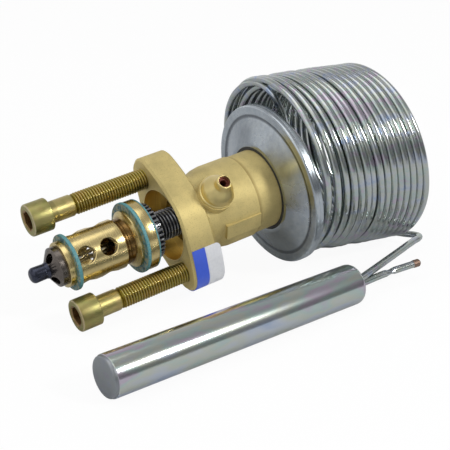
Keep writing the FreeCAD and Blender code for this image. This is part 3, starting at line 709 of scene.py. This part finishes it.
def gasket_fibre(colours):
    """Pressed fibre sheet: light teal cut edges round dark faces with gold and teal specks."""
    material, tree, where = new_finish("Gasket fibre", 0.0, 0.5)
    base = tuple(colours.gasket)
    fibre = cloud(tree, where, 1600.0, 5.0, 0.75)
    face = shades(tree, cloud(tree, where, 700.0), (0.36, tone(base, 0.35)), (0.48, tone(base, 0.8)),
                  (0.56, (0.30, 0.24, 0.10)), (0.66, tone(base, 1.3)))
    edge = shades(tree, fibre, (0.34, tone(base, 0.8)), (0.52, tone(base, 1.4)),
                  (0.70, (0.22, 0.36, 0.36)))
    _, radius = axis_measures(tree, where)
    rim = shades(tree, scaled(tree, radius, 10.0, 14.0), (0.07, 0.0), (0.09, 1.0), (0.12, 1.0),
                 (0.15, 0.0), (0.755, 0.0), (0.77, 1.0))
    return wired(material, base_color=blended(tree, rim, face, edge),
                 normal=bumped(tree, fibre, 0.05, 0.5))


def matte_rubber():
    """Black rubber with a fine dust."""
    material, tree, where = new_finish("Black rubber", 0.0, 0.55)
    fine = cloud(tree, where, 1200.0, 4.0)
    return wired(material, base_color=shades(tree, fine, (0.3, 0.008), (0.7, 0.03)),
                 normal=bumped(tree, fine, 0.03, 0.4))


def label_film(colours):
    """Printed film: a blue field, a thin light strip and a pale grey field, along the axis."""
    material, tree, where = new_finish("Label film", 0.0, 0.38)
    blue = tuple(colours.label_blue)
    station, _ = axis_measures(tree, where)
    fields = shades(tree, scaled(tree, station, LABEL_FRONT, LABEL_REAR), (0.0, blue), (0.44, blue),
                    (0.455, (0.72, 0.74, 0.80)), (0.52, (0.80, 0.81, 0.84)))
    grain = cloud(tree, where, 900.0)
    dirt = shades(tree, grain, (0.3, (0.93, 0.93, 0.94)), (0.6, 1.0))
    return wired(material, base_color=blended(tree, 1.0, fields, dirt, "MULTIPLY"),
                 normal=bumped(tree, grain, 0.01, 0.2))


FINISHES = {}


def finishes():
    """Every finish by its material slot, made once."""
    if "Forged brass" in bpy.data.materials:
        return FINISHES
    colours = bpy.context.scene.valve_colours
    FINISHES.update({
        "forged_brass": forged_brass(colours),
        "turned_brass": turned_brass(colours),
        "pale_brass": turned_brass(colours, "Pale turned brass", 0.75, 0.31),
        "yellow_zinc": yellow_zinc(colours),
        "zinc_plate": zinc_plate(colours),
        "bright_zinc": bright_zinc(colours, "Bright zinc", 0.95, 0.20, 1.0, 75.0,
                                   tuple(BULB_PLACE.to_3x3().inverted().to_euler())),
        "bright_zinc_tube": bright_zinc(colours, "Bright zinc tube", 0.82, 0.21, 0.90, 150.0),
        # Painted shade: the bulb's end disc gets the bulb's zinc at about half its brightness, rougher and
        # with less rainbow.
        "dull_shaded_zinc": bright_zinc(colours, "Dull shaded zinc", 0.50, 0.42, 0.30, 150.0),
        "grey_steel": plain_steel("Grey steel", (0.17, 0.148, 0.13), 1.0, 0.28),
        # The black oxide's crests and tooth ends are lightened, as wear and as painted highlight.
        "black_steel": plain_steel("Black oxide", (0.022, 0.024, 0.030), 0.5, 0.24,
                                   worn=(0.46, 0.46, 0.47)),
        "bright_steel": plain_steel("Ground steel", (0.72, 0.72, 0.74), 1.0, 0.14, 0.006),
        # Painted light: the spring steel is painted lighter than bare steel, so that the spring shows inside
        # the shaded cage.
        "spring_steel": plain_steel("Spring steel", (0.80, 0.79, 0.78), 1.0, 0.34),
        "copper_braze": plain_steel("Copper braze", (0.30, 0.20, 0.15), 1.0, 0.45),
        "dark_copper": plain_steel("Dark copper", (0.15, 0.045, 0.03), 0.6, 0.5),
        "teal_gasket": gasket_fibre(colours),
        "blued_steel": plain_steel("Blued steel", (0.055, 0.06, 0.085), 0.9, 0.25, 0.0),
        "black_rubber": matte_rubber(),
        "label_film": label_film(colours),
    })
    return FINISHES


class ValveStep(bpy.types.Operator):
    """What the steps share: they can be undone."""
    bl_options = {"REGISTER", "UNDO"}


class VALVE_OT_body(ValveStep):
    """Finish the forged body, and make the equalizer fitting and the end of its tube."""
    bl_idname = "valve.body"
    bl_label = "Body and fitting"

    def execute(self, context):
        dress(finished_copy("valve_body", "body_forging", 0.18), "valve_body")
        base = FITTING_SEAT
        fitting = (VALVE @ Matrix.Translation((FITTING_STATION * MM, 0, 0))
                   @ Matrix.Rotation(FITTING_ANGLE, 4, "X") @ Matrix.Rotation(math.pi / 2, 4, "Z"))
        stub = turned("equalizer_stub", [
            (base, 1.9), (base, 6.6), (base + 0.5, 6.6, 0.3), (base + 0.9, 6.15, 0.3), (base + 1.9, 6.0, 3.0),
            (base + 3.2, 5.5, 3.0), (base + 4.4, 4.75, 4.0), (base + 5.6, 3.85, 4.0),
            (base + 6.6, 3.1, 0.8), (base + 8.9, 2.85, 0.3), (base + 9.4, 2.6, 0.2), (base + 9.4, 2.15, 0.1),
            (base + 8.7, FITTING_BORE_R), (base + 0.2, FITTING_BORE_R),
        ], fitting, 72)
        tube_end = turned("equalizer_tube_end", [
            (base + 8.4, FITTING_BORE_R), (base + 8.4, 1.75, 0.1), (base + 7.9, 1.7),
            (base + 7.9, 1.25, 0.1), (base + 4.0, 1.25), (base + 4.0, FITTING_BORE_R),
        ], fitting, 48)
        dress(tube_end, "equalizer_fitting", "dark_copper")
        dress(stub, "equalizer_fitting", "pale_brass")
        return {"FINISHED"}


class VALVE_OT_head(ValveStep):
    """Make the two cups of the power head and its seal."""
    bl_idname = "valve.head"
    bl_label = "Power head"

    def execute(self, context):
        lower = turned("head_front_cup", [
            (CUP_FRONT, SEAL_R, 0.2), (CUP_FRONT, 18.0, 0.5), (46.6, 27.0, 0.5), (46.6, 27.6, 0.3),
            (RIM_FRONT, 28.3, 0.3), (RIM_FRONT, RIM_R, 0.85), (RIM_JOINT, RIM_R, 0.1), (RIM_JOINT, 26.0),
            (44.8, 17.4), (44.8, NECK_R), (SEAL_REAR, NECK_R), (SEAL_REAR, SEAL_R),
        ], sides=160)
        dress(lower, "head_lower_cup")
        upper = turned("head_rear_cup", [
            (RIM_JOINT, 29.55), (RIM_JOINT, RIM_R, 0.1), (RIM_REAR, RIM_R, 0.85), (RIM_REAR, 27.6, 0.4),
            (CUP_REAR, 15.0, 2.0), (CUP_REAR, 2.8, 0.3), (54.1, 2.8), (54.1, 14.0, 1.0), (48.6, 25.6),
            (48.6, 29.55),
        ], sides=160)
        dress(upper, "head_upper_cup")
        seal = turned("neck_ring", [(CUP_FRONT, NECK_R), (CUP_FRONT, SEAL_R, 0.4),
                                    (SEAL_REAR, SEAL_R, 0.3), (SEAL_REAR, NECK_R)])
        dress(seal, "neck_seal")
        return {"FINISHED"}


def pierced(bm, start, end, centre, bearing, outer, inner, hole, chamfer):
    """A quarter of a tube wall from start to end, with a chamfered cross hole through its middle."""
    across, along = 24, 8
    edge = [(start, -45 + 90 * i / across) for i in range(across)]
    edge += [(start + (end - start) * i / along, 45) for i in range(along)]
    edge += [(end, 45 - 90 * i / across) for i in range(across)]
    edge += [(end + (start - end) * i / along, -45) for i in range(along)]
    middle = math.radians(bearing)
    rings = []
    for x, degrees in edge:
        swing = math.radians(degrees)
        aim = math.atan2(outer * math.sin(swing), x - centre)
        wide, mouth = hole + chamfer, hole * math.sin(aim)
        rim = Vector((centre + wide * math.cos(aim), wide * math.sin(aim)))
        column = []
        for i in range(7):
            a, t = Vector((x, outer * math.sin(swing))).lerp(rim, i / 6)
            column.append((a, t, math.sqrt(outer ** 2 - t ** 2)))
        column += [(centre + hole * math.cos(aim), mouth, math.sqrt(outer ** 2 - mouth ** 2) - chamfer),
                   (centre + hole * math.cos(aim), mouth, math.sqrt(inner ** 2 - mouth ** 2)),
                   (x, inner * math.sin(swing), inner * math.cos(swing))]
        rings.append([bm.verts.new((a, h * math.cos(middle) - t * math.sin(middle),
                                    h * math.sin(middle) + t * math.cos(middle))) for a, t, h in column])
    for near, far in zip(rings, rings[1:] + rings[:1]):
        for i in range(len(near) - 1):
            bm.faces.new((near[i], far[i], far[i + 1], near[i + 1]))


def cage_shell():
    """The brass cage: flange, lip, ridged groove and a barrel with two rows of four cross holes."""
    bm = bmesh.new()
    flange_end = [(BARREL_REAR, CAGE_R), (-19.9, CAGE_R, 0.15), (-19.9, CAGE_GROOVE_R)]
    for crest in (-19.0, -18.0):
        flange_end += [(crest - 0.2, CAGE_GROOVE_R), (crest, CAGE_GROOVE_R + 0.25),
                       (crest + 0.2, CAGE_GROOVE_R)]
    flange_end += [(-16.5, CAGE_GROOVE_R, 0.1), (-15.3, CAGE_PILOT_R, 0.15), (FLANGE_FRONT, CAGE_PILOT_R),
                   (FLANGE_FRONT, CAGE_FLANGE_R, 0.2), (FLANGE_REAR, CAGE_FLANGE_R, 0.2),
                   (FLANGE_REAR, 6.0, 0.15), (-14.0, 6.0), (-14.0, 1.86), (-18.4, 1.86),
                   (-18.4, CAGE_BORE_R, 0.3), (BARREL_REAR, CAGE_BORE_R)]
    nose_end = [(BARREL_FRONT, CAGE_BORE_R), (CAGE_FRONT, CAGE_BORE_R, 0.1),
                (CAGE_FRONT, CAGE_SPIGOT_R, 0.2), (-38.5, CAGE_SPIGOT_R), (-38.5, CAGE_R, 0.06),
                (BARREL_FRONT, CAGE_R)]
    for profile in (flange_end, nose_end):
        revolve(bm, rounded(profile), 96, closed=False)
    for start, end, centre in ((BARREL_FRONT, ROW_SPLIT, -34.9), (ROW_SPLIT, BARREL_REAR, -26.1)):
        for bearing in (45, 135, 225, 315):
            pierced(bm, start, end, centre, bearing, CAGE_R, CAGE_BORE_R, CROSS_HOLE_R, 0.22)
    bmesh.ops.remove_doubles(bm, verts=bm.verts, dist=0.002)
    bmesh.ops.recalc_face_normals(bm, faces=bm.faces)
    return settle(bm, "cage_barrel", VALVE @ Matrix.Rotation(math.radians(104.9), 4, "X"), 30.0)


class VALVE_OT_cage(ValveStep):
    """Make the cage and its gaskets, and finish the seat nose."""
    bl_idname = "valve.cage"
    bl_label = "Cage and gaskets"

    def execute(self, context):
        dress(cage_shell(), "cage_body")
        dress(finished_copy("cage_nose", "seat_nose", 0.1), "cage_nose")
        for node, name, a, b, inner, outer in (
                ("cage_front_gasket", "gasket_front", -14.2, FLANGE_FRONT, CAGE_PILOT_R, 13.35),
                ("cage_rear_gasket", "gasket_rear", FLANGE_REAR, -8.8, 10.85, CAGE_FLANGE_R),
                ("cage_lower_gasket", "gasket_lower", -40.0, -38.5, CAGE_SPIGOT_R, 10.4)):
            edge = min(0.35, (b - a) / 3)
            dress(turned(name, [(a, inner), (a, outer, edge), (b, outer, edge), (b, inner)]), node)
        return {"FINISHED"}


class VALVE_OT_adjuster(ValveStep):
    """Cut the thread of the adjusting sleeve and finish the gear."""
    bl_idname = "valve.adjuster"
    bl_label = "Adjusting sleeve and gear"

    def execute(self, context):
        sizes = context.scene.valve_sizes
        bm = bmesh.new()
        crests = threaded_loops(SLEEVE_FRONT, SLEEVE_REAR, SLEEVE_R, sizes.sleeve_pitch / MM, 0.62)
        bore = [(SLEEVE_REAR, SLEEVE_BORE_R), (-10.0, SLEEVE_BORE_R), (-10.0, SLEEVE_EYE_R)]
        revolve(bm, [(SLEEVE_FRONT, SLEEVE_EYE_R)] + crests + bore, 72)
        dress(settle(bm, "threaded_sleeve", VALVE, 28.0), "adjusting_sleeve", body="sleeve")
        dress(finished_copy("adjusting_gear", "toothed_wheel", 0.15, 25.0), "adjusting_gear", body="gear")
        return {"FINISHED"}


def hexagon(flats):
    """Radius of a hexagonal socket at an angle."""
    def at(angle):
        return flats / 2 / math.cos((angle + math.pi / 6) % (math.pi / 3) - math.pi / 6)
    return at


class VALVE_OT_screws(ValveStep):
    """Make the two socket head cap screws with their threads."""
    bl_idname = "valve.screws"
    bl_label = "Cap screws"

    def execute(self, context):
        pitch = context.scene.valve_sizes.screw_pitch / MM
        socket = hexagon(SOCKET_FLATS)
        for node, name, face, thread, side in (
                ("cap_screw_upper", "screw_upper", -46.8, -29.0, SCREW_OFFSET),
                ("cap_screw_lower", "screw_lower", -44.4, -27.3, -SCREW_OFFSET)):
            under, end = face + SCREW_HEAD_T, face + SCREW_HEAD_T + SCREW_LENGTH
            bm = bmesh.new()
            rim = rounded([(face, 4.2), (face, SCREW_HEAD_R, 0.6), (under, SCREW_HEAD_R, 0.35),
                           (under, 3.2)])
            head = [(face + 4.9, 0.0), (face + 3.9, 2.7), (face + 4.0, socket), (face + 0.35, socket),
                    (face, 3.95)] + rim[1:] + [(under, 0.0)]
            revolve(bm, head, 96)
            shank = [(under - 0.4, 0.0), (under - 0.4, 4.3), (under + 0.45, SCREW_R),
                     (thread - 0.9, SCREW_R), (thread - 0.1, 3.55)]
            shank += threaded_loops(thread, end, SCREW_R, pitch, 0.52) + [(end, 0.0)]
            revolve(bm, shank, 96)
            place = VALVE @ Matrix.Rotation(EAR_ANGLE, 4, "X") @ Matrix.Translation((0, side * MM, 0))
            dress(settle(bm, name, place, 28.0), node)
        return {"FINISHED"}


class VALVE_OT_capillary(ValveStep):
    """Wind the capillary: the outer and inner layers, the loose loop, the riser and the tail."""
    bl_idname = "valve.capillary"
    bl_label = "Capillary"

    def execute(self, context):
        sizes = context.scene.valve_sizes
        shared = {"pitch": sizes.coil_pitch, "tube_radius": sizes.tube_radius, "steps": 144, "sides": 20,
                  "material": finishes()["bright_zinc_tube"]}
        wall = (COIL_R - COIL_SLACK) * MM - sizes.tube_radius
        outer = wound("coil_outer_layer", COIL @ Matrix.Translation((OUTER_START * MM, 0, 0)),
                      turns=sizes.coil_turns, radius=wall, spread=1.2 * MM, tilt=1.8 * MM,
                      dip=sizes.dip, start_angle=0.0, wander=sizes.wander, seed=3.0, **shared)
        inner = wound("coil_inner_layer", COIL @ Matrix.Translation((INNER_START * MM, 0, 0)),
                      turns=INNER_TURNS, radius=wall - LAYER_GAP * MM, spread=0.0, tilt=0.0,
                      dip=sizes.dip, start_angle=2.2, wander=2 * sizes.wander, seed=9.0, **shared)
        for piece in (outer, inner):
            dress(piece, "capillary_coil")
        start = (wall - 0.6 * sizes.dip) / MM
        riser = [on_valve(58.0), on_valve(61.0), on_valve(64.6, 0.8, 1.42), on_valve(66.3, 4.6, 1.42),
                 on_valve(65.5, 10.0, 1.42), on_valve(62.8, 15.4, 1.42)]
        riser += [on_coil(*place) for place in (
            (59.4, 16.2, 90.5), (58.2, 21.0, 90.5), (57.2, 25.2, 88), (56.3, 29.4, 84), (55.6, 32.4, 75),
            (55.1, 33.6, 65), (54.7, 34.0, 50), (54.4, start, 33), (54.3, start, 16), (54.4, start, 0))]
        strand = tube("riser_tube", riser, sizes.tube_radius)
        dress(strand, "capillary_riser")
        table = TABLE_Z / MM
        line = [on_coil(95.45, wall / MM, -112) / MM, (101.1, -20.4, table + 4.5),
                (102.7, -23.6, table + 4.9), (103.1, -26.0, table + 5.1), (101.3, -27.6, table + 5.3),
                (97.4, -29.2, table + 5.7)]
        bulb_end = on_bulb(BULB_LENGTH + 0.4, -2.2, 2.2) / MM
        line += [Vector(line[-1]).lerp(bulb_end, share) for share in (0.33, 0.67, 1.0)]
        tail = tube("tail_tube", [Vector(point) * MM for point in line], sizes.tube_radius)
        dress(tail, "capillary_tail")
        return {"FINISHED"}


class VALVE_OT_bulb(ValveStep):
    """Make the sensing bulb, its end disc and its fill tube."""
    bl_idname = "valve.bulb"
    bl_label = "Sensing bulb"

    def execute(self, context):
        shell = turned("bulb_tube", [
            (1.1, 0.0), (1.1, 7.1), (BULB_CAP_T, BULB_R, 0.15), (BULB_LENGTH, BULB_R, 2.2),
            (BULB_LENGTH, 0.0),
        ], BULB_PLACE, 128)
        dress(shell, "bulb_shell")
        disc = turned("bulb_cap", [
            (0.0, 0.0), (0.0, 7.05, 0.7), (BULB_CAP_T, 7.35, 0.1), (BULB_CAP_T, 0.0),
        ], BULB_PLACE, 128)
        # The end disc is painted darker than the bulb, as painted shade, and is rougher.
        dress(disc, "bulb_end_disc", "dull_shaded_zinc")
        tubing = context.scene.valve_sizes.tube_radius
        stub = tube("fill_stub", [on_bulb(BULB_LENGTH + x, side, FILL_HEIGHT) for x, side in (
            (-0.3, -0.3), (6.0, 0.1), (13.0, 0.45), (17.0, 0.45), (24.0, 0.1), (FILL_LENGTH, -0.3))], tubing)
        self.pinch(stub, BULB_LENGTH + PINCH_STATION)
        dress(stub, "fill_tube")
        tip = turned("fill_stub_end", [
            (0.0, 0.0), (0.0, tubing / MM), (0.5, 1.5, 0.2), (2.7, 1.5, 0.3), (3.2, 1.1), (3.2, 0.7),
            (2.3, 0.55), (2.3, 0.0),
        ], BULB_PLACE @ Matrix.Translation(Vector((BULB_LENGTH + FILL_LENGTH, -0.3, FILL_HEIGHT)) * MM)
            @ Matrix.Rotation(-1 / 15, 4, "Z"), 48)
        dress(tip, "fill_tube_end")
        return {"FINISHED"}

    def pinch(self, stub, station):
        """Flattens the sealed tube a little where the filling tool has closed it."""
        back = BULB_PLACE.inverted()
        for vert in stub.data.vertices:
            local = back @ vert.co / MM
            near = max(0.0, 1 - abs(local.x - station) / PINCH_REACH)
            ease = near * near * (3 - 2 * near)
            local.z = FILL_HEIGHT + (local.z - FILL_HEIGHT) * (1 - PINCH_DEPTH * ease)
            vert.co = on_bulb(local.x, local.y, local.z)


def rounded_label():
    """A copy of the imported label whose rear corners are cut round."""
    bm = merged("label")
    bmesh.ops.transform(bm, matrix=VALVE.inverted(), verts=bm.verts)
    bmesh.ops.scale(bm, vec=(1 / MM, 1 / MM, 1 / MM), verts=bm.verts)
    corner = LABEL_CORNER_R
    for degrees in (11, 34, 56, 79):
        swing = math.radians(degrees)
        along, up = math.cos(swing), math.sin(swing)
        normal = Vector((along, up * math.cos(EAR_ANGLE), up * math.sin(EAR_ANGLE)))
        middle = (LABEL_REAR - corner + corner * along, LABEL_REACH - corner + corner * up)
        point = Vector((middle[0], middle[1] * math.cos(EAR_ANGLE), middle[1] * math.sin(EAR_ANGLE)))
        bmesh.ops.bisect_plane(bm, geom=bm.verts[:] + bm.edges[:] + bm.faces[:], plane_co=point,
                               plane_no=normal, clear_outer=True)
        bmesh.ops.holes_fill(bm, edges=bm.edges)
    return settle(bm, "printed_label", VALVE, 30.0)


class VALVE_OT_small_parts(ValveStep):
    """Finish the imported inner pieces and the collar, and make the end plug and the label."""
    bl_idname = "valve.small_parts"
    bl_label = "Inner pieces and label"

    def execute(self, context):
        for node in ("diaphragm", "capillary_collar", "buffer_plate", "push_rod", "rod_packing",
                     "spring_retainer", "superheat_spring", "valve_pin"):
            piece = frame["nodes"][node]
            piece.data.materials.clear()
            piece.data.materials.append(finishes()[SLOTS[node]])
        plug = turned("end_plug", [
            (PLUG_FRONT, 0.0), (PLUG_FRONT, PLUG_R, 1.65), (PLUG_REAR - 1.0, PLUG_R - 0.15, 0.8),
            (PLUG_REAR, PLUG_R + 0.2), (PLUG_REAR, 0.0),
        ], VALVE, 64)
        dress(plug, "nose_plug", "blued_steel")
        dress(rounded_label(), "label")
        return {"FINISHED"}


class VALVE_OT_stage(ValveStep):
    """Set the table, the white studio, the lamps and the camera."""
    bl_idname = "valve.stage"
    bl_label = "Stage"

    def execute(self, context):
        scene = context.scene
        scene.view_settings.view_transform = "Standard"
        camera = bpy.data.cameras.new("Camera")
        camera.lens = CAMERA_LENS
        camera.clip_start = 0.01
        scene.camera = self.aimed("Camera", camera, CAMERA_PLACE, Vector(CAMERA_WAY))
        self.floor()
        self.world(scene)
        for name, place, size, power, aim in LAMPS:
            lamp = bpy.data.lights.new(name, "AREA")
            lamp.size = size
            lamp.energy = power
            self.aimed(name, lamp, place, Vector(aim) - Vector(place))
        return {"FINISHED"}

    def aimed(self, name, data, place, way):
        """Stands the camera or a lamp at its place, looking along its way."""
        holder = linked(name, data)
        holder.location = place
        holder.rotation_mode = "QUATERNION"
        holder.rotation_quaternion = way.to_track_quat("-Z", "Y")
        return holder

    def floor(self):
        """A wide pale table that shows white to the camera and keeps a faint shadow."""
        bm = bmesh.new()
        bmesh.ops.create_grid(bm, x_segments=1, y_segments=1, size=3.0)
        table = linked("Table", meshed(bm, "Table"))
        table.location.z = TABLE_Z - 0.1 * MM
        material, tree, _ = new_finish("Table top", 0.0, 0.8)
        rays = added(tree, "LightPath").outputs
        wired(material, base_color=blended(tree, rays["Is Glossy Ray"], 0.92, (0.62, 0.63, 0.65)))
        white = added(tree, "Math", {0: rays["Is Camera Ray"], 1: TABLE_GLOW}, operation="MULTIPLY")
        mix = added(tree, "MixShader", {0: white.outputs[0], 1: tree.nodes["Principled BSDF"].outputs[0],
                                        2: added(tree, "Emission").outputs[0]})
        tree.links.new(mix.outputs[0], tree.nodes["Material Output"].inputs["Surface"])
        table.data.materials.append(material)

    def world(self, scene):
        """White for the camera; the metal sees a bright backdrop behind it and a dark room in front."""
        world = bpy.data.worlds.new("Studio")
        world.use_nodes = True
        scene.world = world
        tree = world.node_tree
        way = added(tree, "TexCoord").outputs["Generated"]
        split = added(tree, "SeparateXYZ", {"Vector": way}).outputs
        backdrop = shades(tree, split["Z"], (0.0, (0.92, 0.92, 0.93)), (0.30, (0.80, 0.80, 0.82)),
                          (0.65, (0.50, 0.50, 0.52)), (1.0, (0.40, 0.40, 0.41)))
        front = shades(tree, split["Z"], (0.0, (0.17, 0.175, 0.18)), (0.30, (0.19, 0.195, 0.20)),
                       (0.65, (0.33, 0.335, 0.34)), (1.0, (0.40, 0.40, 0.41)))
        side = mapped(tree, split["Y"], -0.30, 0.35, kind="SMOOTHSTEP")
        room = blended(tree, side, front, backdrop)
        camera_ray = added(tree, "LightPath").outputs["Is Camera Ray"]
        tree.links.new(blended(tree, camera_ray, room, 1.0), tree.nodes["Background"].inputs["Color"])


STEPS = (VALVE_OT_body, VALVE_OT_head, VALVE_OT_cage, VALVE_OT_adjuster, VALVE_OT_screws,
         VALVE_OT_capillary, VALVE_OT_bulb, VALVE_OT_small_parts, VALVE_OT_stage)


class VALVE_PT_steps(bpy.types.Panel):
    """The steps that dress the valve, in the sidebar."""
    bl_idname = "VALVE_PT_steps"
    bl_label = "Expansion valve"
    bl_space_type = "VIEW_3D"
    bl_region_type = "UI"
    bl_category = "Valve"

    def draw(self, context):
        layout = self.layout
        for step in STEPS:
            layout.operator(step.bl_idname)
        for group in (context.scene.valve_sizes, context.scene.valve_colours):
            for name in group.bl_rna.properties.keys():
                if name not in ("rna_type", "name"):
                    layout.prop(group, name)


CLASSES = (ValveSizes, ValveColours, *STEPS, VALVE_PT_steps)


def register():
    for cls in CLASSES:
        bpy.utils.register_class(cls)
    bpy.types.Scene.valve_sizes = bpy.props.PointerProperty(type=ValveSizes)
    bpy.types.Scene.valve_colours = bpy.props.PointerProperty(type=ValveColours)


def unregister():
    del bpy.types.Scene.valve_colours
    del bpy.types.Scene.valve_sizes
    for cls in reversed(CLASSES):
        bpy.utils.unregister_class(cls)


def main():
    register()
    for step in STEPS:
        group, name = step.bl_idname.split(".")
        getattr(getattr(bpy.ops, group), name)()


if __name__ == "__main__":
    main()
